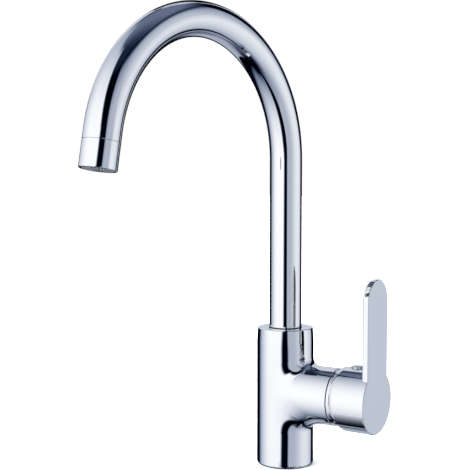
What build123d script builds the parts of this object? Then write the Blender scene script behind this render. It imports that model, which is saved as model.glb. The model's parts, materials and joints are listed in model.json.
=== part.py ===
"""Single-lever kitchen faucet with a swivelling gooseneck spout and a side lever.

Millimetres. The origin is the centre of the foot on the deck, +Z is up, the branch with the
lever points along +X, and the spout points along -Y, turned a little towards -X at rest.
"""

import os
from math import cos, radians, sin, sqrt, tan

from build123d import *

# Clearances
running_fit = 0.05
seat_fit = 0.05
thread_fit = 0.03
drop_in_fit = 0.2
loose_fit = 0.3
film_gap = 0.03

# Cartridge
cartridge_radius = 17.5
housing_wall = 1.9
shoulder_ring = 2.0
shoulder_drop = 1.0
housing_collar_wall = 1.7
neck_wall = 2.15
neck_setback = 1.5
port_plate = 4.5
disc_thickness = 4.0
moving_disc_radius = 11.0
disc_chamber_depth = 2.0
disc_chamber_width = 18.0
disc_chamber_height = 7.0
disc_chamber_gap = 2.1
inlet_port_radius = 2.8
inlet_port_side = 7.0
inlet_port_rise = 4.5
outlet_port_radius = 3.2
outlet_port_drop = 6.0
seal_section = 1.6
seal_margin = 1.2
carriage_web = 0.8
carriage_half_width = 9.0
claw_width = 4.0
claw_depth = 1.4
claw_length = 2.5
stem_arm = 10.0
stem_ball_radius = 2.4
stem_neck_radius = 1.4
stem_side = 7.0
stem_blade_back = 5.5
pivot_rise = 7.0
pivot_pin_radius = 1.5
pivot_pin_length = 22.0
lift_angle = 25.0
rotor_radius = 11.8
rotor_flange_radius = 13.5
rotor_flange_depth = 4.0
rotor_length = 15.5
rotor_gap = 0.5
nut_length = 7.0
nut_thread = 1.6
nut_setback = 0.8
nut_slots = 6
nut_slot_width = 3.0
nut_slot_depth = 2.0

# Body and branch
branch_wall = 3.47
branch_reach = 48.8
branch_height = 59.5
branch_step = 0.2
branch_end_round = 0.4
tee_blend = 5.5
body_height = 111.6
foot_round = 2.0
top_round = 0.8
shoulder_share = 0.41
shoulder_draw = 0.7
foot_lip = 1.0
foot_land = 1.4
gasket_width = 2.0
gasket_depth = 2.0
foot_cavity_depth = 30.0
supply_radius = 4.5
supply_thread_length = 12.0
supply_forward = 7.0
supply_side = 9.0
supply_duct_radius = 3.0
outlet_duct_radius = 4.5
outlet_duct_back = 6.0

# Deck fixing
deck_thickness = 30.0
stud_radius = 4.0
stud_back = 11.0
stud_engagement = 12.0
stud_tail = 15.0
stud_chamfer = 0.8
washer_radius = 24.0
washer_web = 3.5
washer_hose_room = 1.5
rubber_washer_thickness = 3.0
steel_washer_thickness = 2.0
deck_nut_across_flats = 13.0
deck_nut_height = 10.0

# Spout
spout_rest_turn = 6.18
tube_radius = 13.0
tube_wall = 1.0
arch_radius = 101.0
arch_height = 247.0
arch_sweep = 169.4
spout_end_length = 26.1
nipple_grip = 12.0
nipple_step = 1.0
nipple_bore = 7.0
socket_depth = 26.0
socket_end_gap = 1.5
slide_ring_flange = 0.5
slide_ring_overhang = 0.35
slide_ring_sleeve = 5.0
slide_ring_wall = 1.5
o_ring_section = 2.0
o_ring_groove_room = 0.6
o_ring_depth = 10.6
o_ring_spacing = 10.0
retaining_groove_depth = 2.0
retaining_groove_room = 0.5
retaining_screw_radius = 2.5
retaining_screw_length = 8.0
retaining_tip_radius = 1.7
retaining_tip_length = 1.5
hex_key_across_flats = 2.5
hex_key_depth = 3.0

# Aerator
collar_length = 19.0
collar_seam = 0.1
collar_grip = 6.0
collar_wall = 2.0
collar_waterway = 9.0
collar_mouth_round = 0.6
seam_chamfer = 0.15
aerator_pocket_depth = 12.0
aerator_recess = 1.6
aerator_washer_thickness = 1.5
aerator_screen_thickness = 0.8
aerator_rim = 1.6
aerator_hub_radius = 2.4
aerator_ribs = 12
aerator_rib_width = 0.7
aerator_rib_setback = 1.4
aerator_rib_height = 3.0
aerator_teeth = 24
aerator_tooth_depth = 1.0
aerator_tooth_gap = 1.2
screen_rim = 1.0
screen_bar = 0.5
screen_bars = 9
screen_pitch = 1.9

# Cover ring and lever
cover_step = 0.2
cover_wall = 1.7
cover_spigot_length = 2.5
cover_spigot_wall = 1.3
cover_ledge = 1.2
cover_dome_drop = 2.6
cover_edge_round = 0.3
cover_seam = 0.5
cover_seam_depth = 1.0
sweep_gap = 0.4
skirt_setback = 3.4
skirt_gap = 0.6
skirt_lip = 0.6
skirt_wall = 2.1
skirt_length = 30.6
skirt_round_length = 5.0
skirt_cut_angle = 18.4
plate_thickness = 5.6
paddle_half_width = 17.0
paddle_top = 95.8
plate_bevel = 0.5
paddle_back_round = 2.0
paddle_root_round = 2.0
boss_radius = 7.0
boss_lead = 0.6
boss_root = 1.0
socket_end_wall = 1.7
set_screw_forward = 13.3
set_screw_radius = 2.5
set_screw_length = 8.0
set_screw_boss = 4.0
plug_radius = 4.6
plug_seat_depth = 1.5
plug_proud = 1.6
plug_stem_length = 5.0
plug_round = 0.9

# Cartridge radii, from the inside out, up to the branch and the body around it
chamber_radius = cartridge_radius + drop_in_fit
nut_radius = chamber_radius + nut_thread
nut_bore_radius = nut_radius + thread_fit
branch_radius = nut_bore_radius + branch_wall
body_radius = branch_radius + branch_step
disc_bore_radius = cartridge_radius - housing_wall
fixed_disc_radius = disc_bore_radius - drop_in_fit
flange_bore_radius = rotor_flange_radius + loose_fit
housing_collar_radius = flange_bore_radius + housing_collar_wall
rotor_bore_radius = rotor_radius + running_fit
neck_radius = rotor_bore_radius + neck_wall

# Places along the branch, measured from the body's axis
nut_start = branch_reach - nut_setback - nut_length
nut_end = nut_start + nut_length
rotor_start = nut_start - shoulder_drop
flange_end = rotor_start + rotor_flange_depth
rotor_end = rotor_start + rotor_length
neck_end = rotor_end - neck_setback
pivot_x = rotor_start + pivot_rise
blade_start = pivot_x - stem_blade_back
ball_x = pivot_x - stem_arm
pocket_floor = ball_x - stem_ball_radius - loose_fit
carriage_start = pocket_floor - carriage_web
carriage_end = rotor_start - rotor_gap
moving_disc_start = carriage_start - disc_thickness
fixed_disc_end = moving_disc_start - film_gap
fixed_disc_start = fixed_disc_end - disc_thickness
chamber_floor = fixed_disc_start - port_plate

# The moving disc rests half its travel below the cartridge's axis
disc_travel = stem_arm * sin(radians(lift_angle))
disc_rest_drop = disc_travel / 2

# Slot in the rotor that the stem tilts in
stem_half = stem_side / 2
lift = radians(lift_angle)
slot_low = (rotor_end - pivot_x) * tan(lift) + stem_half / cos(lift) + loose_fit
slot_high = stem_blade_back * sin(lift) + stem_half * cos(lift) + loose_fit

# Post above the tee: straight for a share of its height, then drawn in up to the top
tee_top = branch_height + branch_radius + tee_blend
shoulder_start = tee_top + shoulder_share * (body_height - tee_top)

# Foot
foot_radius = body_radius - foot_round
gasket_outer = foot_radius - foot_lip
gasket_inner = gasket_outer - gasket_width
foot_cavity_radius = gasket_inner - foot_land
stud_top = foot_cavity_depth + stud_engagement
rubber_washer_bottom = -deck_thickness - rubber_washer_thickness
steel_washer_bottom = rubber_washer_bottom - steel_washer_thickness
deck_nut_bottom = steel_washer_bottom - deck_nut_height
stud_bottom = deck_nut_bottom - stud_tail
inlet_height = branch_height + inlet_port_rise
outlet_height = branch_height - outlet_port_drop

# Spout joint
tube_bore = tube_radius - tube_wall
tube_start = body_height + slide_ring_flange + film_gap
journal_radius = tube_bore - nipple_step
socket_radius = journal_radius + running_fit
sleeve_radius = socket_radius + slide_ring_wall
socket_floor = body_height - socket_depth
nipple_end = socket_floor + socket_end_gap
upper_ring_height = body_height - o_ring_depth
lower_ring_height = upper_ring_height - o_ring_spacing
retaining_height = (upper_ring_height + lower_ring_height) / 2
retaining_start = socket_radius + film_gap

# Aerator, measured up from the mouth of the outlet
pocket_radius = tube_radius - collar_wall
insert_radius = pocket_radius - seat_fit
collar_shoulder = collar_length - collar_seam
aerator_washer_start = aerator_pocket_depth - aerator_washer_thickness
aerator_screen_start = aerator_washer_start - aerator_screen_thickness
aerator_ribs_start = aerator_recess + aerator_rib_setback

# Cover ring and lever: the dome is centred on the lever's pivot, inside the skirt's sweep
cover_radius = branch_radius - cover_step
cover_bore = cover_radius - cover_wall
spigot_bore = nut_bore_radius
spigot_radius = spigot_bore + cover_spigot_wall
skirt_start = branch_reach + skirt_setback
skirt_end = skirt_start + skirt_length
skirt_bore = cover_radius + skirt_gap
skirt_radius = skirt_bore + skirt_wall
plate_start = skirt_end - plate_thickness
dome_radius = sqrt((skirt_start - pivot_x) ** 2 + skirt_bore**2) - sweep_gap
dome_bore = dome_radius - cover_wall
dome_lip_radius = cover_radius - cover_dome_drop
stem_end = plate_start - socket_end_wall
set_screw_x = skirt_start + set_screw_forward
boss_start = set_screw_x - set_screw_boss - boss_lead
plug_seat = skirt_radius - plug_seat_depth

# Frames of the branch, the lever, the spout and the outlet
up = Vector(0, 0, 1)
spout_turn = radians(spout_rest_turn)
reach = Vector(-sin(spout_turn), -cos(spout_turn), 0)
outlet_lean = radians(180 - arch_sweep)
branch_plane = Plane(origin=(0, 0, branch_height), x_dir=(0, 1, 0), z_dir=(1, 0, 0))
lever_plane = Plane(origin=(0, 0, branch_height), x_dir=(1, 0, 0), z_dir=(0, -1, 0))
pin_plane = Plane(origin=(pivot_x, 0, branch_height), x_dir=(1, 0, 0), z_dir=(0, 1, 0))
screw_plane = Plane(origin=(set_screw_x, 0, branch_height), x_dir=(1, 0, 0), z_dir=(0, 0, 1))
rear_plane = Plane(origin=(0, 0, retaining_height), x_dir=(1, 0, 0), z_dir=(0, 1, 0))
branch_axis = Axis((0, 0, branch_height), (1, 0, 0))
spout_plane = Plane(origin=(0, 0, 0), x_dir=reach, z_dir=reach.cross(up))


def on_arch(turn):
    """A point of the arch's centre line in the spout's plane, turn degrees after its start."""
    angle = radians(180 - turn)
    return (arch_radius + arch_radius * cos(angle), arch_height + arch_radius * sin(angle))


def past_arch(length):
    """A point of the straight end, length beyond the arch."""
    along, height = on_arch(arch_sweep)
    return (along + length * sin(outlet_lean), height - length * cos(outlet_lean))


outlet_plane = Plane(
    origin=spout_plane.from_local_coords((*past_arch(spout_end_length), 0)),
    x_dir=spout_plane.z_dir,
    z_dir=up * cos(outlet_lean) - reach * sin(outlet_lean),
)


def shifted(plane, x, y):
    """The same plane with its origin moved within itself."""
    return Plane(origin=plane.from_local_coords((x, y, 0)), x_dir=plane.x_dir, z_dir=plane.z_dir)


def rod(plane, radius, start, end, mode=Mode.ADD):
    """A cylinder along a plane's normal, between two heights above it."""
    with BuildSketch(plane.offset(start)) as section:
        Circle(radius)
    extrude(section.sketch, amount=end - start, mode=mode)


def bore(plane, radius, start, end):
    """A round hole along a plane's normal."""
    rod(plane, radius, start, end, mode=Mode.SUBTRACT)


def ring(plane, inner, outer, start, end, mode=Mode.ADD):
    """A tube along a plane's normal."""
    with BuildSketch(plane.offset(start)) as section:
        Circle(outer)
        Circle(inner, mode=Mode.SUBTRACT)
    extrude(section.sketch, amount=end - start, mode=mode)


def hex_socket(plane, mouth):
    """A hexagon key's recess that opens at a height above a plane."""
    with BuildSketch(plane.offset(mouth - hex_key_depth)) as section:
        RegularPolygon(hex_key_across_flats / 2, 6, major_radius=False)
    extrude(section.sketch, amount=hex_key_depth, mode=Mode.SUBTRACT)


def horseshoe(bottom, thickness):
    """An open washer under the deck: the stud's hole, and a mouth that lets the hoses pass."""
    mouth_start = stud_radius + washer_web - stud_back
    mouth_width = 2 * (supply_side + supply_radius + washer_hose_room)
    with BuildSketch(Plane.XY.offset(bottom)) as section:
        Circle(washer_radius)
        with Locations((mouth_start, 0)):
            Rectangle(2 * washer_radius, mouth_width, align=(Align.MIN, Align.CENTER), mode=Mode.SUBTRACT)
        with Locations((-stud_back, 0)):
            Circle(stud_radius + loose_fit, mode=Mode.SUBTRACT)
    extrude(section.sketch, amount=thickness)


# The three ports of the cartridge: place across the branch, and radius
ports = [
    (-inlet_port_side, inlet_port_rise, inlet_port_radius),
    (inlet_port_side, inlet_port_rise, inlet_port_radius),
    (0, -outlet_port_drop, outlet_port_radius),
]


# Body casting: post, branch, smooth tee, and every chamber and duct
with BuildPart() as mixer_body:
    with BuildSketch(Plane.XZ):
        with BuildLine():
            Line((0, 0), (body_radius, 0))
            side = Line((body_radius, 0), (body_radius, shoulder_start))
            TangentArc(side @ 1, (body_radius - shoulder_draw, body_height), tangent=side % 1)
            Polyline((body_radius - shoulder_draw, body_height), (0, body_height), (0, 0))
        make_face()
    revolve(axis=Axis.Z)
    fillet(mixer_body.edges().group_by(Axis.Z)[0], foot_round)
    fillet(mixer_body.edges().group_by(Axis.Z)[-1], top_round)
    rod(branch_plane, branch_radius, 0, branch_reach)
    curved_edges = mixer_body.edges().filter_by(GeomType.LINE, reverse=True)
    fillet(curved_edges.filter_by(GeomType.CIRCLE, reverse=True), tee_blend)
    fillet(mixer_body.edges().sort_by(Axis.X)[-1], branch_end_round)
    # Foot: hollow with the gasket's groove around it, hose threads and the stud's thread above
    bore(Plane.XY, foot_cavity_radius, 0, foot_cavity_depth)
    ring(Plane.XY, gasket_inner, gasket_outer, 0, gasket_depth, mode=Mode.SUBTRACT)
    bore(shifted(Plane.XY, -stud_back, 0), stud_radius + thread_fit, foot_cavity_depth, stud_top)
    # Cartridge chamber, lock nut thread and the cover ring's seat
    bore(branch_plane, chamber_radius, chamber_floor, branch_reach)
    bore(branch_plane, nut_bore_radius, nut_start, branch_reach)
    bore(branch_plane, spigot_radius + seat_fit, branch_reach - cover_spigot_length, branch_reach)
    # Supply ducts, each from its hose thread up to its port
    for y, z, radius in ports[:2]:
        supply = shifted(Plane.XY, supply_forward, supply_side if y > 0 else -supply_side)
        bore(supply, supply_radius, foot_cavity_depth, foot_cavity_depth + supply_thread_length)
        bore(supply, supply_duct_radius, foot_cavity_depth, inlet_height + radius)
        bore(shifted(branch_plane, y, z), radius, supply_forward, chamber_floor)
    # Mixed water duct, back to the post and up to the spout's socket
    bore(shifted(branch_plane, 0, -outlet_port_drop), outlet_port_radius, -outlet_duct_back, chamber_floor)
    bore(
        shifted(Plane.XY, -outlet_duct_back, 0),
        outlet_duct_radius,
        outlet_height - outlet_port_radius,
        socket_floor,
    )
    # Spout socket, slide ring seat and the retaining screw's thread at the back
    bore(Plane.XY, socket_radius, socket_floor, body_height)
    bore(Plane.XY, sleeve_radius + seat_fit, body_height - slide_ring_sleeve, body_height)
    bore(rear_plane, retaining_screw_radius + thread_fit, 0, body_radius)

# Gasket in the foot's groove
with BuildPart() as base_gasket:
    ring(Plane.XY, gasket_inner + seat_fit, gasket_outer - seat_fit, 0, gasket_depth)

# Deck fixing
with BuildPart() as mounting_stud:
    rod(shifted(Plane.XY, -stud_back, 0), stud_radius, stud_bottom, stud_top)
    chamfer(mounting_stud.edges().filter_by(GeomType.CIRCLE), stud_chamfer)

with BuildPart() as rubber_horseshoe_washer:
    horseshoe(rubber_washer_bottom, rubber_washer_thickness)

with BuildPart() as steel_horseshoe_washer:
    horseshoe(steel_washer_bottom, steel_washer_thickness)

with BuildPart() as deck_nut:
    with BuildSketch(shifted(Plane.XY, -stud_back, 0).offset(deck_nut_bottom)):
        RegularPolygon(deck_nut_across_flats / 2, 6, major_radius=False)
        Circle(stud_radius + thread_fit, mode=Mode.SUBTRACT)
    extrude(amount=deck_nut_height)

# Spout joint: slide ring and retaining screw stay with the body
with BuildPart() as spout_slide_ring:
    rod(Plane.XY, tube_radius + slide_ring_overhang, body_height, body_height + slide_ring_flange)
    rod(Plane.XY, sleeve_radius, body_height - slide_ring_sleeve, body_height)
    bore(Plane.XY, socket_radius, body_height - slide_ring_sleeve, body_height + slide_ring_flange)

with BuildPart() as spout_retaining_screw:
    rod(rear_plane, retaining_screw_radius, retaining_start, retaining_start + retaining_screw_length)
    rod(rear_plane, retaining_tip_radius, retaining_start - retaining_tip_length, retaining_start)
    hex_socket(rear_plane, retaining_start + retaining_screw_length)

# Spout: a tube bent over the arch, and the nipple that turns in the body's socket
with BuildPart() as spout_tube:
    with BuildLine(spout_plane):
        Line((0, tube_start), (0, arch_height))
        ThreePointArc((0, arch_height), on_arch(arch_sweep / 2), on_arch(arch_sweep))
        Line(on_arch(arch_sweep), past_arch(spout_end_length - collar_length))
    with BuildSketch(Plane.XY.offset(tube_start)):
        Circle(tube_radius)
        Circle(tube_bore, mode=Mode.SUBTRACT)
    sweep()
    seam_face = spout_tube.faces().sort_by_distance(outlet_plane.origin)[0]
    seam_edge = seam_face.edges().sort_by(SortBy.RADIUS)[-1]
    chamfer(seam_edge, seam_chamfer)

with BuildPart() as spout_nipple:
    rod(Plane.XY, journal_radius, nipple_end, tube_start)
    rod(Plane.XY, tube_bore - seat_fit, tube_start, tube_start + nipple_grip)
    bore(Plane.XY, nipple_bore, nipple_end, tube_start + nipple_grip)
    o_ring_half = (o_ring_section + o_ring_groove_room) / 2
    groove_floor = journal_radius - o_ring_section - film_gap
    for height in (upper_ring_height, lower_ring_height):
        ring(
            Plane.XY,
            groove_floor,
            tube_radius,
            height - o_ring_half,
            height + o_ring_half,
            mode=Mode.SUBTRACT,
        )
    tip_half = retaining_tip_radius + retaining_groove_room
    ring(
        Plane.XY,
        journal_radius - retaining_groove_depth,
        tube_radius,
        retaining_height - tip_half,
        retaining_height + tip_half,
        mode=Mode.SUBTRACT,
    )

with BuildPart() as spout_o_rings:
    with Locations((0, 0, upper_ring_height), (0, 0, lower_ring_height)):
        Torus(journal_radius - o_ring_section / 2, o_ring_section / 2)

# Aerator: collar flush with the tube, and the insert, screen and washer in its pocket
with BuildPart() as aerator_collar:
    rod(outlet_plane, tube_radius, 0, collar_shoulder)
    rod(outlet_plane, tube_bore - seat_fit, collar_shoulder, collar_length + collar_grip)
    rims = aerator_collar.edges().filter_by(GeomType.CIRCLE).filter_by(lambda edge: edge.radius > tube_bore)
    mouth_rim, seam_rim = rims.sort_by_distance(outlet_plane.origin)
    chamfer(seam_rim, seam_chamfer)
    fillet(mouth_rim, collar_mouth_round)
    bore(outlet_plane, pocket_radius, 0, aerator_pocket_depth)
    bore(outlet_plane, collar_waterway, aerator_pocket_depth, collar_length + collar_grip)

with BuildPart() as aerator_washer:
    ring(outlet_plane, collar_waterway, insert_radius, aerator_washer_start, aerator_pocket_depth)

with BuildPart() as aerator_screen:
    with BuildSketch(outlet_plane.offset(aerator_screen_start)):
        with GridLocations(screen_pitch, 0, screen_bars, 1):
            Rectangle(screen_bar, 2 * insert_radius)
        with GridLocations(0, screen_pitch, 1, screen_bars):
            Rectangle(2 * insert_radius, screen_bar)
        Circle(insert_radius, mode=Mode.INTERSECT)
    extrude(amount=aerator_screen_thickness)
    screen_bore = insert_radius - screen_rim
    ring(outlet_plane, screen_bore, insert_radius, aerator_screen_start, aerator_washer_start)

with BuildPart() as aerator_insert:
    ring(outlet_plane, insert_radius - aerator_rim, insert_radius, aerator_recess, aerator_screen_start)
    with BuildSketch(outlet_plane.offset(aerator_ribs_start)):
        Circle(aerator_hub_radius)
        with PolarLocations(0, aerator_ribs):
            Rectangle(insert_radius - aerator_rim / 2, aerator_rib_width, align=(Align.MIN, Align.CENTER))
    extrude(amount=aerator_rib_height)
    with BuildSketch(outlet_plane.offset(aerator_recess)):
        with PolarLocations(insert_radius, aerator_teeth):
            Rectangle(4 * aerator_rim, aerator_tooth_gap)
    extrude(amount=aerator_tooth_depth, mode=Mode.SUBTRACT)

# Cartridge: what stays with the body
with BuildPart() as cartridge_base:
    rod(branch_plane, cartridge_radius, chamber_floor, fixed_disc_start)
    for y, z, radius in ports:
        port = shifted(branch_plane, y, z)
        seat = radius + seal_margin + seal_section / 2
        half = seal_section / 2 + seat_fit
        bore(port, radius, chamber_floor, fixed_disc_start)
        groove_end = chamber_floor + seal_section + seat_fit
        ring(port, seat - half, seat + half, chamber_floor, groove_end, mode=Mode.SUBTRACT)

with BuildPart(branch_plane) as cartridge_seals:
    for y, z, radius in ports:
        with Locations((y, z, chamber_floor + film_gap + seal_section / 2)):
            Torus(radius + seal_margin + seal_section / 2, seal_section / 2)

with BuildPart() as fixed_ceramic_disc:
    rod(branch_plane, fixed_disc_radius, fixed_disc_start, fixed_disc_end)
    for y, z, radius in ports:
        bore(shifted(branch_plane, y, z), radius, fixed_disc_start, fixed_disc_end)

with BuildPart() as cartridge_housing:
    rod(branch_plane, cartridge_radius, fixed_disc_start, nut_start)
    rod(branch_plane, housing_collar_radius, nut_start, nut_end)
    rod(branch_plane, neck_radius, nut_end, neck_end)
    bore(branch_plane, disc_bore_radius, fixed_disc_start, nut_start - shoulder_ring)
    bore(branch_plane, flange_bore_radius, nut_start - shoulder_ring, flange_end + drop_in_fit)
    bore(branch_plane, rotor_bore_radius, flange_end, neck_end)

with BuildPart() as cartridge_lock_nut:
    ring(branch_plane, housing_collar_radius + drop_in_fit, nut_radius, nut_start, nut_end)
    with BuildSketch(branch_plane.offset(nut_end - nut_slot_depth)):
        with PolarLocations(nut_radius, nut_slots):
            Rectangle(2 * nut_radius - 2 * housing_collar_radius, nut_slot_width)
        Circle(housing_collar_radius, mode=Mode.SUBTRACT)
    extrude(amount=nut_slot_depth, mode=Mode.SUBTRACT)

# Rotor: turns with the lever for temperature, holds the pivot pin and guides the disc carriage
with BuildPart() as cartridge_rotor:
    rod(branch_plane, rotor_flange_radius, rotor_start, flange_end)
    rod(branch_plane, rotor_radius, rotor_start, rotor_end)
    jaw_start = carriage_start + loose_fit
    with BuildSketch(branch_plane.offset(jaw_start)):
        Circle(rotor_flange_radius)
        Rectangle(2 * (carriage_half_width + loose_fit), 2 * rotor_flange_radius, mode=Mode.SUBTRACT)
    extrude(amount=rotor_start - jaw_start)
    with BuildSketch(branch_plane.offset(rotor_start)):
        with Locations((0, (slot_high - slot_low) / 2)):
            Rectangle(stem_side + 2 * drop_in_fit, slot_high + slot_low)
    extrude(amount=rotor_length, mode=Mode.SUBTRACT)
    bore(pin_plane, pivot_pin_radius + thread_fit, -rotor_flange_radius, rotor_flange_radius)

with BuildPart() as stem_pivot_pin:
    rod(pin_plane, pivot_pin_radius, -pivot_pin_length / 2, pivot_pin_length / 2)

# Moving disc and its carriage: slide across the fixed disc as the stem tilts
disc_plane = shifted(branch_plane, 0, -disc_rest_drop)
claw_places = [(0, moving_disc_radius - claw_depth / 2), (0, claw_depth / 2 - moving_disc_radius)]

with BuildPart() as moving_ceramic_disc:
    rod(disc_plane, moving_disc_radius, moving_disc_start, carriage_start)
    chamber_top = inlet_port_rise - inlet_port_radius - disc_chamber_gap
    with BuildSketch(branch_plane.offset(moving_disc_start)):
        with Locations((0, chamber_top - disc_chamber_height / 2)):
            SlotOverall(disc_chamber_width, disc_chamber_height)
        with Locations((0, -outlet_port_drop - disc_rest_drop / 2)):
            Circle(outlet_port_radius + disc_rest_drop / 2)
    extrude(amount=disc_chamber_depth, mode=Mode.SUBTRACT)
    with BuildSketch(disc_plane.offset(carriage_start - claw_length - seat_fit)):
        with Locations(*claw_places):
            Rectangle(claw_width + 2 * seat_fit, claw_depth + 2 * seat_fit)
    extrude(amount=claw_length + seat_fit, mode=Mode.SUBTRACT)

with BuildPart() as disc_carriage:
    with BuildSketch(disc_plane.offset(carriage_start)):
        Circle(moving_disc_radius)
        Rectangle(2 * carriage_half_width, 2 * moving_disc_radius, mode=Mode.INTERSECT)
    extrude(amount=carriage_end - carriage_start)
    with BuildSketch(disc_plane.offset(carriage_start - claw_length)):
        with Locations(*claw_places):
            Rectangle(claw_width, claw_depth)
    extrude(amount=claw_length + carriage_web)
    bore(branch_plane, stem_ball_radius + drop_in_fit, pocket_floor, carriage_end)

# Cover ring: a straight collar that domes in under the lever's skirt
with BuildPart() as cover_ring:
    dome_start = pivot_x + sqrt(dome_radius**2 - cover_radius**2)
    dome_end = pivot_x + sqrt(dome_radius**2 - dome_lip_radius**2)
    dome_inner_start = pivot_x + sqrt(dome_bore**2 - cover_bore**2)
    lip_share = dome_bore / dome_radius
    lip_inner = (pivot_x + (dome_end - pivot_x) * lip_share, dome_lip_radius * lip_share)
    ledge_end = branch_reach + cover_ledge
    spigot_start = branch_reach - cover_spigot_length
    seam_end = branch_reach + cover_seam
    seam_floor = cover_radius - cover_seam_depth
    with BuildSketch(lever_plane):
        with BuildLine():
            Line((seam_end, cover_radius), (dome_start, cover_radius))
            RadiusArc((dome_start, cover_radius), (dome_end, dome_lip_radius), dome_radius)
            Line((dome_end, dome_lip_radius), lip_inner)
            RadiusArc(lip_inner, (dome_inner_start, cover_bore), -dome_bore)
            Polyline(
                (dome_inner_start, cover_bore),
                (ledge_end, cover_bore),
                (ledge_end, spigot_bore),
                (spigot_start, spigot_bore),
                (spigot_start, spigot_radius),
                (branch_reach, spigot_radius),
                (branch_reach, seam_floor),
                (seam_end, seam_floor),
                (seam_end, cover_radius),
            )
        make_face()
    revolve(axis=branch_axis)
    cover_rims = cover_ring.edges().filter_by(GeomType.CIRCLE)
    outer_rims = cover_rims.filter_by(lambda edge: edge.radius > seam_floor + film_gap)
    fillet(outer_rims.sort_by(Axis.X)[0], cover_edge_round)

# Lever: skirt, round front and paddle in one casting, with the stem's socket inside
with BuildPart() as lever_handle:
    lip = (skirt_start, skirt_bore + skirt_lip)
    round_end = (skirt_start + skirt_round_length, skirt_radius)
    with BuildSketch(lever_plane):
        with BuildLine():
            TangentArc(round_end, lip, tangent=(-1, 0))
            Polyline(
                lip,
                (skirt_start, skirt_bore),
                (plate_start, skirt_bore),
                (plate_start, 0),
                (skirt_end, 0),
                (skirt_end, skirt_radius),
                round_end,
            )
        make_face()
    revolve(axis=branch_axis)
    # The lower rear edge is cut back, so that it clears the branch when the lever is lifted
    with BuildSketch(lever_plane):
        cut_depth = 2 * skirt_radius
        with BuildLine():
            Polyline(
                (skirt_start, 0),
                (skirt_start - skirt_lip, 0),
                (skirt_start - skirt_lip, -cut_depth),
                (skirt_start + cut_depth * tan(radians(skirt_cut_angle)), -cut_depth),
                close=True,
            )
        make_face()
    extrude(amount=cut_depth, both=True, mode=Mode.SUBTRACT)
    with BuildSketch(branch_plane.offset(plate_start)) as outline:
        Circle(skirt_radius)
        Rectangle(2 * paddle_half_width, paddle_top - paddle_half_width, align=(Align.CENTER, Align.MIN))
        with Locations((0, paddle_top - paddle_half_width)):
            Circle(paddle_half_width)
        root_height = sqrt(skirt_radius**2 - paddle_half_width**2)
        corners = outline.vertices().filter_by(lambda v: abs(v.Z - branch_height - root_height) < film_gap)
        fillet(corners, paddle_root_round)
    extrude(amount=plate_thickness)
    front = lever_handle.faces().filter_by(GeomType.PLANE).sort_by(Axis.X)[-1]
    chamfer(front.outer_wire().edges(), plate_bevel)
    paddle_floor = branch_height + skirt_radius + plate_bevel
    back_edges = lever_handle.edges().filter_by_position(
        Axis.X, plate_start - film_gap, plate_start + film_gap
    )
    fillet(back_edges.filter_by(lambda edge: edge.center().Z > paddle_floor), paddle_back_round)
    rod(branch_plane, boss_radius, boss_start, plate_start + boss_root)
    rod(screw_plane, set_screw_boss, 0, skirt_bore + skirt_lip)
    with BuildSketch(branch_plane.offset(boss_start)):
        Rectangle(stem_side + 2 * seat_fit, stem_side + 2 * seat_fit)
    extrude(amount=stem_end + seat_fit - boss_start, mode=Mode.SUBTRACT)
    bore(screw_plane, set_screw_radius + thread_fit, 0, skirt_radius)
    bore(screw_plane, plug_radius + loose_fit, plug_seat, skirt_radius + plug_proud)

with BuildPart() as lever_stem:
    with Locations((ball_x, 0, branch_height)):
        Sphere(stem_ball_radius)
    rod(branch_plane, stem_neck_radius, ball_x, blade_start)
    with BuildSketch(branch_plane.offset(blade_start)):
        Rectangle(stem_side, stem_side)
    extrude(amount=stem_end - blade_start)
    bore(pin_plane, pivot_pin_radius + running_fit, -stem_side, stem_side)

with BuildPart() as lever_set_screw:
    rod(screw_plane, set_screw_radius, stem_half, stem_half + set_screw_length)
    hex_socket(screw_plane, stem_half + set_screw_length)

with BuildPart() as index_plug:
    rod(screw_plane, plug_radius, plug_seat, skirt_radius + plug_proud)
    fillet(index_plug.edges().group_by(Axis.Z)[-1], plug_round)
    rod(screw_plane, set_screw_radius - seat_fit, plug_seat - plug_stem_length, plug_seat)

pieces = {
    "mixer_body": mixer_body,
    "base_gasket": base_gasket,
    "mounting_stud": mounting_stud,
    "rubber_horseshoe_washer": rubber_horseshoe_washer,
    "steel_horseshoe_washer": steel_horseshoe_washer,
    "deck_nut": deck_nut,
    "spout_slide_ring": spout_slide_ring,
    "spout_retaining_screw": spout_retaining_screw,
    "spout_tube": spout_tube,
    "spout_nipple": spout_nipple,
    "spout_o_rings": spout_o_rings,
    "aerator_collar": aerator_collar,
    "aerator_washer": aerator_washer,
    "aerator_screen": aerator_screen,
    "aerator_insert": aerator_insert,
    "cartridge_base": cartridge_base,
    "cartridge_seals": cartridge_seals,
    "fixed_ceramic_disc": fixed_ceramic_disc,
    "cartridge_housing": cartridge_housing,
    "cartridge_lock_nut": cartridge_lock_nut,
    "cartridge_rotor": cartridge_rotor,
    "stem_pivot_pin": stem_pivot_pin,
    "moving_ceramic_disc": moving_ceramic_disc,
    "disc_carriage": disc_carriage,
    "cover_ring": cover_ring,
    "lever_handle": lever_handle,
    "lever_stem": lever_stem,
    "lever_set_screw": lever_set_screw,
    "index_plug": index_plug,
}

os.makedirs("parts", exist_ok=True)
for name, piece in pieces.items():
    piece.part.label = name
    export_step(piece.part, f"parts/{name}.step")
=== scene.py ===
"""Looks of the kitchen faucet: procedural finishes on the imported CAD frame, and a high-key studio."""

import json
import math

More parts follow.
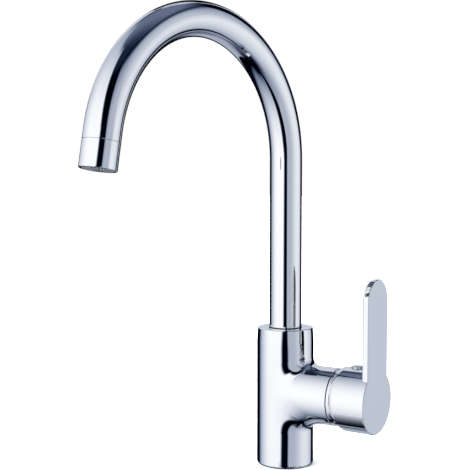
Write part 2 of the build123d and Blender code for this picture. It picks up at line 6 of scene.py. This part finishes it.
import bmesh
import bpy
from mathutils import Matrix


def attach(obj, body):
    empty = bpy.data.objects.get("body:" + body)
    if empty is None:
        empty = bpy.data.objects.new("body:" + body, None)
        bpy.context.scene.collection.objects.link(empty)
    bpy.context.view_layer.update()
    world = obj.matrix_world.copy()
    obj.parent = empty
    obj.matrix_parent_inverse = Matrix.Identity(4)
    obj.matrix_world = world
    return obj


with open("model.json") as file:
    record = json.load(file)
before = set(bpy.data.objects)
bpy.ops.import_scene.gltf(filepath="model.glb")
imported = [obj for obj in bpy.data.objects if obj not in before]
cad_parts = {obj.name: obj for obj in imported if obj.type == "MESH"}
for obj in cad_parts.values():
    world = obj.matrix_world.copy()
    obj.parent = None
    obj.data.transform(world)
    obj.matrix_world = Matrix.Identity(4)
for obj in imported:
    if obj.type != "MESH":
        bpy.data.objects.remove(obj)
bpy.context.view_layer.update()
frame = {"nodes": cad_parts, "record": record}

# Camera: the photograph's viewpoint
CAMERA_PLACE = (0.42816, -0.72356, 0.2443)
CAMERA_TILT = math.radians(86.046)
CAMERA_TURN = math.radians(33.411)
CAMERA_LENS_MM = 79.742
SENSOR_MM = 36.0

# Directions: a side is in degrees round the part, 0 towards the camera and positive to its right
CAMERA_SIDE = math.degrees(math.atan2(CAMERA_PLACE[0], -CAMERA_PLACE[1]))

# Chrome
CHROME_SLOTS = ("body_chrome", "spout_chrome", "lever_chrome", "cover_chrome", "collar_chrome")
CHROME_TINT = (0.80, 0.81, 0.83)
CHROME_HAZE = (0.012, 0.035)
PLUG_TINT = (0.52, 0.54, 0.57)
PLUG_HAZE = (0.05, 0.10)
CHROME_DARK_SHARE = 0.985
CHROME_PATCHES = 35.0
HAZE_PATCHES = 160.0
HAZE_NOISE = (0.35, 0.7)
# Painted shade in seams: ambient occlusion within a short reach darkens the chrome's colour towards a dark tint
SEAM_SHADE_REACH = 0.0012
SEAM_SHADE_SAMPLES = 8
SEAM_SHADE_OPEN = (0.3, 0.75)
SEAM_SHADE_TINT = (0.02, 0.021, 0.024)

# Bare metals: tint and range of roughness
TURNED_METALS = {
    "raw_brass": ((0.80, 0.60, 0.30), (0.18, 0.34)),
    "zinc_steel": ((0.62, 0.64, 0.67), (0.26, 0.44)),
    "stainless": ((0.66, 0.66, 0.67), (0.16, 0.30)),
}
METAL_DARK_SHARE = 0.86
METAL_PATCHES = 120.0
METAL_GRAIN = (1.0, 1.0, 30.0)
METAL_LINES = 220.0
METAL_BUMP = 0.00002

# Plastics, rubber and ceramic: dark and light tone, range of roughness, height of the skin, specular level
MOULDED = {
    "black_slide": ((0.003, 0.003, 0.004), (0.006, 0.006, 0.007), (0.4, 0.5), 0.000004, 0.1),
    "black_rubber": ((0.018, 0.018, 0.02), (0.03, 0.03, 0.03), (0.6, 0.8), 0.00001, 0.5),
    "white_acetal": ((0.82, 0.82, 0.80), (0.88, 0.88, 0.86), (0.34, 0.5), 0.000005, 0.5),
    "grey_acetal": ((0.38, 0.40, 0.43), (0.44, 0.46, 0.49), (0.34, 0.5), 0.000005, 0.5),
    "white_ceramic": ((0.90, 0.89, 0.86), (0.94, 0.93, 0.90), (0.08, 0.16), 0.000001, 0.5),
}
MOULDED_PATCHES = 140.0
MOULDED_SKIN = 1800.0
ROUGH_NOISE = (0.3, 0.7)

# Studio light: dim light is cooler than bright light
STUDIO_GAIN = 1.0 / CHROME_TINT[1]
ROOM_DARK = 0.0006
COLOUR_POWERS = (1.12, 1.0, 0.79)
PAPER_WHITE = (1.0, 1.0, 1.0, 1.0)

# Studio panels: an edge is place and softness, a ramp start, end and both levels, a fade centre, reach and loss
EYE_LEVEL = (0.0, 6.5)
KEY_LEAN = ((-15.0, 0.0, -17.5, -13.8), (0.0, 11.0, 0.0, 13.8), (11.0, 80.0, 0.0, -30.1))
KEY_RIGHT = (0.0, -5.3)
KEY_FADE = (7.0, 60.0, 0.485)
KEY_LOW_LEFT = (-123.0, 9.0)
KEY_LOW_BOTTOM = (-82.7, 9.0)
KEY_LOW_RAMP = (-149.4, -62.5, 0.16, 1.0)
KEY_HIGH_LEFT = (-146.2, 17.5)
KEY_HIGH_TOP = (70.8, -5.8)
KEY_HIGH_RAMP = (-152.2, -62.5, 0.533, 1.0)
FILL_LEAN = ((-15.0, 0.0, 12.0, 9.1), (0.0, 8.0, 0.0, 24.0))
FILL_LEFT = (0.0, 3.8)
FILL_RAMPS = ((29.5, 85.2, 0.482, 0.828), (95.0, 128.0, 1.0, 0.698))
FILL_LOW_RIGHT = (129.5, -4.5)
FILL_LOW_BOTTOM = (-67.2, 13.5)
FILL_LOW_FADE = (18.0, 60.0, 0.257)
FILL_HIGH_RIGHT = (128.0, -3.5)
FILL_HIGH_TOP = (44.0, -6.2)
FILL_HIGH_RAMP = (2.0, 46.0, 0.906, 0.405)

# Panels behind the part: left and right edge from straight behind, lower and upper edge, and light
WINDOW = ((-20.0, 3.0), (47.8, -12.4), (10.0, 4.0), (45.5, -2.5), 0.60)
SILL = ((-8.0, 2.0), (8.0, -2.0), (5.0, 2.0), (14.0, -3.0), 0.56)
LOWER_WALL = ((-20.1, 12.3), (24.8, -1.0), (-59.6, 15.0), (-19.0, -4.0), 0.407)
CEILING_START = (44.0, 62.0)
CEILING_RAMP = (-0.43, 0.21, 0.015, 0.158)

# Floor and overhead light
FLOOR_HALF = 6.0
FLOOR_DROP = 0.0003
FLOOR_DARK = (0.92, 0.93, 0.94)
FLOOR_LIGHT = (0.94, 0.95, 0.96)
FLOOR_PATCHES = 3.0
FLOOR_ROUGHNESS = 0.9
OVERHEAD_STRENGTH = 8.0
OVERHEAD_SPREAD = math.radians(120)
OVERHEAD_TILT = (math.radians(18), math.radians(-14), 0.0)

# Near panels: spot of the part, side that they face, distance, corners by side and rise, and light
TEE_SPOT = (0.020, -0.016, 0.080)
ARCH_SPOT = (-0.011, -0.100, 0.360)
TEE_FILL = ((9.5, -4.0), (36.0, -4.0), (36.0, 56.0), (9.5, 41.0))
ARCH_FLAG = ((162.0, 4.0), (210.0, 3.5), (210.0, 42.9), (162.0, 45.6))
ARCH_STRIP = ((160.0, 47.2), (195.0, 48.0), (195.0, 57.6), (160.0, 56.9))
NEAR_PANELS = {
    "tee_fill": (TEE_SPOT, 23.0, 0.30, TEE_FILL, 0.56),
    "arch_flag": (ARCH_SPOT, 180.0, 0.15, ARCH_FLAG, 0.0),
    "arch_strip": (ARCH_SPOT, 180.0, 0.30, ARCH_STRIP, 0.62),
}
PANEL_DARK = (0.92, 1.0, 1.18)
PANEL_LIGHT = (0.93, 1.01, 1.19)
PANEL_PATCHES = 6.0
PANEL_BLACK = (0.0, 0.0, 0.0, 1.0)

# Panels that lie below the deck, mirrored in the underside of the lever's skirt
LYING_DROP = 0.012
SKIRT_STRIP = ((0.027, -0.012), (0.060, -0.012), (0.060, -0.003), (0.027, -0.003))
SKIRT_STRIP_STRENGTH = 0.36
SKIRT_SHEET = ((0.023, -0.018), (0.057, -0.018), (0.041, -0.088), (0.007, -0.088))
SKIRT_SHEET_COVER = (-0.020, -0.088, 1.0, 0.0)

# Tee in millimetres: reach along the branch and its growth per drop towards the sides, then along the post
MM = 0.001
POST_RADIUS = 23.0
BRANCH_RADIUS = 22.8
BRANCH_HEIGHT = 59.5
TEE_ABOVE = (8.0, 0.0, 6.0, 0.8)
TEE_BELOW = (22.0, -0.3, 8.0, 1.0)
TEE_FULLNESS = 2.4
TEE_END_TURN = 88.0
TEE_LIFT = 0.02
TEE_ROOT = 1.5
TEE_ROOT_POINTS = 3
TEE_SLICES = 177
TEE_STEPS = 40


class Graph:
    """Adds nodes to a node tree and wires them: an argument is a socket or a constant."""

    def __init__(self, tree):
        self.tree = tree

    def feed(self, target, value):
        if isinstance(value, bpy.types.NodeSocket):
            self.tree.links.new(value, target)
        else:
            target.default_value = value

    def node(self, kind, **settings):
        made = self.tree.nodes.new(kind)
        for key, value in settings.items():
            setattr(made, key, value)
        return made

    def math(self, operation, *values):
        made = self.node("ShaderNodeMath", operation=operation)
        for target, value in zip(made.inputs, values):
            self.feed(target, value)
        return made.outputs[0]

    def times(self, first, *others):
        for other in others:
            first = self.math("MULTIPLY", first, other)
        return first

    def span(self, value, start, end, low=0.0, high=1.0, curve="SMOOTHSTEP"):
        made = self.node("ShaderNodeMapRange", interpolation_type=curve)
        for name, entry in (
            ("Value", value),
            ("From Min", start),
            ("From Max", end),
            ("To Min", low),
            ("To Max", high),
        ):
            self.feed(made.inputs[name], entry)
        return made.outputs["Result"]

    def edge(self, value, place, soft):
        """A share that goes from 0 to 1 across a place; with a negative softness it goes from 1 to 0."""
        return self.span(value, place - soft, place + soft)

    def lean(self, value, ramps):
        """A place that moves with a value: the sum of straight ramps."""
        total = 0.0
        for ramp in ramps:
            total = self.math("ADD", total, self.span(value, *ramp, curve="LINEAR"))
        return total

    def fade(self, value, centre, reach, loss):
        """Full light at a centre, falling by a share at a reach from it."""
        off = self.math("DIVIDE", self.math("SUBTRACT", value, centre), reach)
        square = self.math("POWER", self.math("ABSOLUTE", off), 2.0)
        return self.math("SUBTRACT", 1.0, self.times(square, loss))

    def mix(self, share, first, second):
        made = self.node("ShaderNodeMix", data_type="RGBA")
        for name, entry in (("Factor", share), ("A", first), ("B", second)):
            self.feed(made.inputs[name], entry)
        return made.outputs["Result"]

    def axes(self, vector):
        made = self.node("ShaderNodeSeparateXYZ")
        self.feed(made.inputs[0], vector)
        return made.outputs

    def noise(self, coordinates, scale, detail=3.0):
        made = self.node("ShaderNodeTexNoise")
        self.feed(made.inputs["Vector"], coordinates)
        self.feed(made.inputs["Scale"], scale)
        self.feed(made.inputs["Detail"], detail)
        return made.outputs["Fac"]


def studio_light(g):
    """The light from every direction: a dark room with large soft panels."""
    turned = g.node("ShaderNodeVectorRotate", rotation_type="Z_AXIS")
    g.feed(turned.inputs["Vector"], g.node("ShaderNodeTexCoord").outputs["Generated"])
    g.feed(turned.inputs["Angle"], -math.radians(CAMERA_SIDE))
    x, y, z = g.axes(turned.outputs[0])
    degrees = math.degrees(1.0)
    side = g.times(g.math("ARCTAN2", x, g.times(y, -1.0)), degrees)
    rise = g.times(g.math("ARCSINE", z), degrees)
    back = g.times(g.math("ARCTAN2", g.times(x, -1.0), y), degrees)
    upper = g.span(rise, *EYE_LEVEL)
    lower = g.math("SUBTRACT", 1.0, upper)

    # Key: a tall softbox at the camera's left, brightest beside the camera, its right edge leaning
    key_low = g.times(
        g.edge(side, *KEY_LOW_LEFT),
        g.edge(rise, *KEY_LOW_BOTTOM),
        g.span(side, *KEY_LOW_RAMP),
        lower,
    )
    key_high = g.times(
        g.edge(side, *KEY_HIGH_LEFT),
        g.edge(rise, *KEY_HIGH_TOP),
        g.span(side, *KEY_HIGH_RAMP),
        upper,
    )
    key = g.times(
        g.math("ADD", key_low, key_high),
        g.edge(g.math("SUBTRACT", side, g.lean(rise, KEY_LEAN)), *KEY_RIGHT),
        g.fade(rise, *KEY_FADE),
    )

    # Fill: a cooler softbox at the right, brightest well round to the side, its left edge leaning
    fill_low = g.times(
        g.edge(side, *FILL_LOW_RIGHT),
        g.edge(rise, *FILL_LOW_BOTTOM),
        g.fade(rise, *FILL_LOW_FADE),
        lower,
    )
    fill_high = g.times(
        g.edge(side, *FILL_HIGH_RIGHT),
        g.edge(rise, *FILL_HIGH_TOP),
        g.span(rise, *FILL_HIGH_RAMP, curve="LINEAR"),
        upper,
    )
    fill = g.times(
        g.math("ADD", fill_low, fill_high),
        g.edge(g.math("SUBTRACT", side, g.lean(rise, FILL_LEAN)), *FILL_LEFT),
        *(g.span(side, *ramp) for ramp in FILL_RAMPS),
    )

    # Behind the part: dark at eye level, with a window and its sill, a dim lower wall and a grey ceiling
    ceiling = g.times(g.span(rise, *CEILING_START), g.span(y, *CEILING_RAMP))
    panels = [key, fill, ceiling]
    for left, right, bottom, top, strength in (WINDOW, SILL, LOWER_WALL):
        panels.append(
            g.times(
                g.edge(back, *left),
                g.edge(back, *right),
                g.edge(rise, *bottom),
                g.edge(rise, *top),
                strength,
            )
        )
    light = ROOM_DARK
    for panel in panels:
        light = g.math("MAXIMUM", light, panel)
    return light


def build_studio():
    """The room that the chrome mirrors, and white paper for the camera."""
    world = bpy.data.worlds.new("studio")
    bpy.context.scene.world = world
    world.use_nodes = True
    world.node_tree.nodes.clear()
    g = Graph(world.node_tree)
    light = studio_light(g)
    colour = g.node("ShaderNodeCombineColor")
    for target, power in zip(colour.inputs, COLOUR_POWERS):
        g.feed(target, g.math("POWER", light, power))
    room = g.node("ShaderNodeBackground")
    g.feed(room.inputs["Color"], colour.outputs[0])
    g.feed(room.inputs["Strength"], STUDIO_GAIN)
    paper = g.node("ShaderNodeBackground")
    g.feed(paper.inputs["Color"], PAPER_WHITE)
    pick = g.node("ShaderNodeMixShader")
    g.feed(pick.inputs[0], g.node("ShaderNodeLightPath").outputs["Is Camera Ray"])
    g.feed(pick.inputs[1], room.outputs[0])
    g.feed(pick.inputs[2], paper.outputs[0])
    g.feed(g.node("ShaderNodeOutputWorld").inputs["Surface"], pick.outputs[0])


def build_camera():
    data = bpy.data.cameras.new("camera")
    data.lens = CAMERA_LENS_MM
    data.sensor_width = SENSOR_MM
    camera = bpy.data.objects.new("camera", data)
    camera.location = CAMERA_PLACE
    camera.rotation_euler = (CAMERA_TILT, 0.0, CAMERA_TURN)
    bpy.context.scene.collection.objects.link(camera)
    bpy.context.scene.camera = camera


def start_material(name, **sockets):
    """A Principled material with its constant values set on the shader's own sockets."""
    material = bpy.data.materials.new(name)
    material.use_nodes = True
    g = Graph(material.node_tree)
    shader = next(n for n in material.node_tree.nodes if n.type == "BSDF_PRINCIPLED")
    for key, value in sockets.items():
        shader.inputs[key.replace("_", " ")].default_value = value
    place = g.node("ShaderNodeTexCoord").outputs["Object"]
    return material, g, shader, place


def add_bump(g, shader, height, distance):
    bump = g.node("ShaderNodeBump")
    g.feed(bump.inputs["Height"], height)
    g.feed(bump.inputs["Distance"], distance)
    g.feed(bump.inputs["Strength"], 1.0)
    g.feed(shader.inputs["Normal"], bump.outputs[0])


def stretched(g, place, scale):
    mapping = g.node("ShaderNodeMapping")
    g.feed(mapping.inputs["Vector"], place)
    g.feed(mapping.inputs["Scale"], scale)
    return mapping.outputs[0]


def mottled(g, place, scale, dark, light):
    """A colour that drifts between two close tones."""
    return g.mix(g.noise(place, scale), (*dark, 1.0), (*light, 1.0))


def chrome(name, tint, haze):
    """Bright plating: a clean mirror with a breath of haze that comes and goes, with painted shade darkening
    its colour in narrow seams.
    """
    material, g, shader, place = start_material(name, Metallic=1.0)
    dark = tuple(CHROME_DARK_SHARE * c for c in tint)
    plate = mottled(g, place, CHROME_PATCHES, dark, tint)
    # Painted shade: where other surfaces lie close, ambient occlusion pulls the base colour towards a dark tint
    crevice_shade = g.node("ShaderNodeAmbientOcclusion", samples=SEAM_SHADE_SAMPLES)
    g.feed(crevice_shade.inputs["Distance"], SEAM_SHADE_REACH)
    unshaded_share = g.span(crevice_shade.outputs["AO"], *SEAM_SHADE_OPEN)
    g.feed(shader.inputs["Base Color"], g.mix(unshaded_share, (*SEAM_SHADE_TINT, 1.0), plate))
    g.feed(shader.inputs["Roughness"], g.span(g.noise(place, HAZE_PATCHES), *HAZE_NOISE, *haze))
    return material


def turned_metal(name, tint, rough):
    """Bare metal with fine machining lines."""
    material, g, shader, place = start_material(name, Metallic=1.0)
    dark = tuple(METAL_DARK_SHARE * c for c in tint)
    lines = g.noise(stretched(g, place, METAL_GRAIN), METAL_LINES, detail=4.0)
    g.feed(shader.inputs["Base Color"], mottled(g, place, METAL_PATCHES, dark, tint))
    g.feed(shader.inputs["Roughness"], g.span(lines, *ROUGH_NOISE, *rough))
    add_bump(g, shader, lines, METAL_BUMP)
    return material


def moulded(name, dark, light, rough, bump, specular):
    """Plastic, rubber or ceramic: two close tones, uneven gloss and a fine skin."""
    material, g, shader, place = start_material(name, Specular_IOR_Level=specular)
    g.feed(shader.inputs["Base Color"], mottled(g, place, MOULDED_PATCHES, dark, light))
    skin = g.noise(place, MOULDED_SKIN, detail=2.0)
    g.feed(shader.inputs["Roughness"], g.span(skin, *ROUGH_NOISE, *rough))
    add_bump(g, shader, skin, bump)
    return material


def build_finishes():
    """One material for each slot of the record."""
    finishes = {slot: chrome(slot, CHROME_TINT, CHROME_HAZE) for slot in CHROME_SLOTS}
    finishes["plug_chrome"] = chrome("plug_chrome", PLUG_TINT, PLUG_HAZE)
    finishes.update({slot: turned_metal(slot, *look) for slot, look in TURNED_METALS.items()})
    finishes.update({slot: moulded(slot, *look) for slot, look in MOULDED.items()})
    return finishes


def tee_slice(turn, reaches):
    """One slice of the blend at a turn from the middle: points and normals, seen from the tee's centre."""
    along, along_growth, up, up_growth = reaches
    angle = math.radians(turn)
    drop = BRANCH_RADIUS * (1.0 - math.cos(angle))
    slope = math.tan(angle)
    along += along_growth * drop
    up += up_growth * drop
    y = BRANCH_RADIUS * math.sin(angle)
    post = math.sqrt(POST_RADIUS**2 - y * y)
    branch = math.sqrt(BRANCH_RADIUS**2 - y * y)
    share = 2.0 / TEE_FULLNESS
    points, normals = [], []
    for j in range(TEE_STEPS + 1):
        step = math.radians(90.0 * j / TEE_STEPS)
        c = max(math.cos(step), 0.0)
        s = math.sin(step)
        off_post = 1.0 - c**share
        off_branch = 1.0 - s**share
        points.append((post + TEE_LIFT + along * off_post, y, branch + TEE_LIFT + up * off_branch))
        n_x = up * c ** (2.0 - share)
        n_z = along * s ** (2.0 - share)
        lean = n_x * (along_growth * slope * off_post - y / post)
        lean += n_z * (up_growth * slope * off_branch - y / branch)
        length = math.sqrt(n_x * n_x + lean * lean + n_z * n_z)
        normals.append((n_x / length, -lean / length, n_z / length))
    on_branch = (0.0, y / BRANCH_RADIUS, branch / BRANCH_RADIUS)
    on_post = (post / POST_RADIUS, y / POST_RADIUS, 0.0)
    outwards = (0.0, math.copysign(1.0, turn), 0.0)
    for x, z, normal in (
        (post + along, branch - TEE_ROOT, on_branch),
        (post - TEE_ROOT, branch - TEE_ROOT, outwards),
        (post - TEE_ROOT, branch + up, on_post),
    ):
        points.append((x, y, z))
        normals.append(normal)
    return points, normals


def build_tee(material):
    """The casting's blend between post and branch, above and below: a rounded corner in every slice."""
    points, normals, faces = [], [], []
    ring = TEE_STEPS + 1 + TEE_ROOT_POINTS
    for rise, reaches in ((1.0, TEE_ABOVE), (-1.0, TEE_BELOW)):
        first = len(points)
        for i in range(TEE_SLICES):
            turn = TEE_END_TURN * (2.0 * i / (TEE_SLICES - 1) - 1.0)
            slice_points, slice_normals = tee_slice(turn, reaches)
            points += [(x, y, BRANCH_HEIGHT + rise * z) for x, y, z in slice_points]
            normals += [(x, y, rise * z) for x, y, z in slice_normals]
        for i in range(TEE_SLICES - 1):
            here, there = first + i * ring, first + (i + 1) * ring
            for j in range(ring):
                k = (j + 1) % ring
                faces.append((here + j, here + k, there + k, there + j))
        last = first + (TEE_SLICES - 1) * ring
        faces += [tuple(range(first, first + ring)), tuple(range(last, last + ring))]
    mesh = bpy.data.meshes.new("tee_blend")
    mesh.from_pydata([tuple(MM * c for c in point) for point in points], [], faces)
    build = bmesh.new()
    build.from_mesh(mesh)
    bmesh.ops.recalc_face_normals(build, faces=build.faces)
    build.to_mesh(mesh)
    build.free()
    mesh.shade_smooth()
    mesh.normals_split_custom_set_from_vertices(normals)
    mesh.materials.append(material)
    tee = bpy.data.objects.new("tee_blend", mesh)
    bpy.context.scene.collection.objects.link(tee)
    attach(tee, "base")


def four_sided(name, corners):
    """A mesh and its object with one face."""
    mesh = bpy.data.meshes.new(name)
    mesh.from_pydata(corners, [], [(0, 1, 2, 3)])
    made = bpy.data.objects.new(name, mesh)
    bpy.context.scene.collection.objects.link(made)
    return mesh, made


def build_floor():
    h = FLOOR_HALF
    mesh, floor = four_sided("floor", [(-h, -h, 0.0), (h, -h, 0.0), (h, h, 0.0), (-h, h, 0.0)])
    floor.location = (0.0, 0.0, -FLOOR_DROP)
    floor.visible_glossy = False
    floor.visible_diffuse = False
    material, g, shader, place = start_material("floor_paper", Roughness=FLOOR_ROUGHNESS)
    g.feed(shader.inputs["Base Color"], mottled(g, place, FLOOR_PATCHES, FLOOR_DARK, FLOOR_LIGHT))
    mesh.materials.append(material)


def add_panel(name, corners, **sockets):
    """A black stage panel that only reflections see; returns its material's graph, shader and coordinates."""
    mesh, panel = four_sided(name, corners)
    panel.visible_camera = False
    panel.visible_diffuse = False
    panel.visible_shadow = False
    material, g, shader, place = start_material(
        name, Base_Color=PANEL_BLACK, Specular_IOR_Level=0.0, **sockets
    )
    mesh.materials.append(material)
    return g, shader, place


def build_glow(name, corners, strength):
    """A panel that shines evenly, or a black one where the strength is 0."""
    g, shader, place = add_panel(name, corners, Emission_Strength=strength)
    glow = mottled(g, place, PANEL_PATCHES, PANEL_DARK, PANEL_LIGHT)
    g.feed(shader.inputs["Emission Color"], glow)


def standing_corners(spot, facing, away, corners):
    """Corners of a panel that stands square to a side, at a distance from a spot."""
    points = []
    for side, rise in corners:
        reach = away / math.cos(math.radians(side - facing))
        angle = math.radians(CAMERA_SIDE + side)
        points.append(
            (
                spot[0] + reach * math.sin(angle),
                spot[1] - reach * math.cos(angle),
                spot[2] + reach * math.tan(math.radians(rise)),
            )
        )
    return points


def lying_corners(corners):
    """Corners of a panel that lies below the deck."""
    return [(x, y, -LYING_DROP) for x, y in corners]


def build_skirt_sheet():
    """A dark sheet that lets more of the studio through towards its front."""
    g, shader, place = add_panel("skirt_sheet", lying_corners(SKIRT_SHEET))
    cover = g.span(g.axes(place)["Y"], *SKIRT_SHEET_COVER, curve="LINEAR")
    g.feed(shader.inputs["Alpha"], cover)


def build_overhead():
    data = bpy.data.lights.new("overhead", "SUN")
    data.energy = OVERHEAD_STRENGTH
    data.angle = OVERHEAD_SPREAD
    lamp = bpy.data.objects.new("overhead", data)
    lamp.rotation_euler = OVERHEAD_TILT
    lamp.visible_glossy = False
    bpy.context.scene.collection.objects.link(lamp)


build_camera()
build_studio()
build_floor()
for name, (*stand, strength) in NEAR_PANELS.items():
    build_glow(name, standing_corners(*stand), strength)
build_glow("skirt_strip", lying_corners(SKIRT_STRIP), SKIRT_STRIP_STRENGTH)
build_skirt_sheet()
build_overhead()
bpy.context.scene.view_settings.view_transform = "Standard"

finishes = build_finishes()
for subpart in frame["record"]["subparts"]:
    node = frame["nodes"][subpart["node"]]
    node.data.materials.clear()
    node.data.materials.append(finishes[subpart["material_slot"]])

build_tee(finishes["body_chrome"])
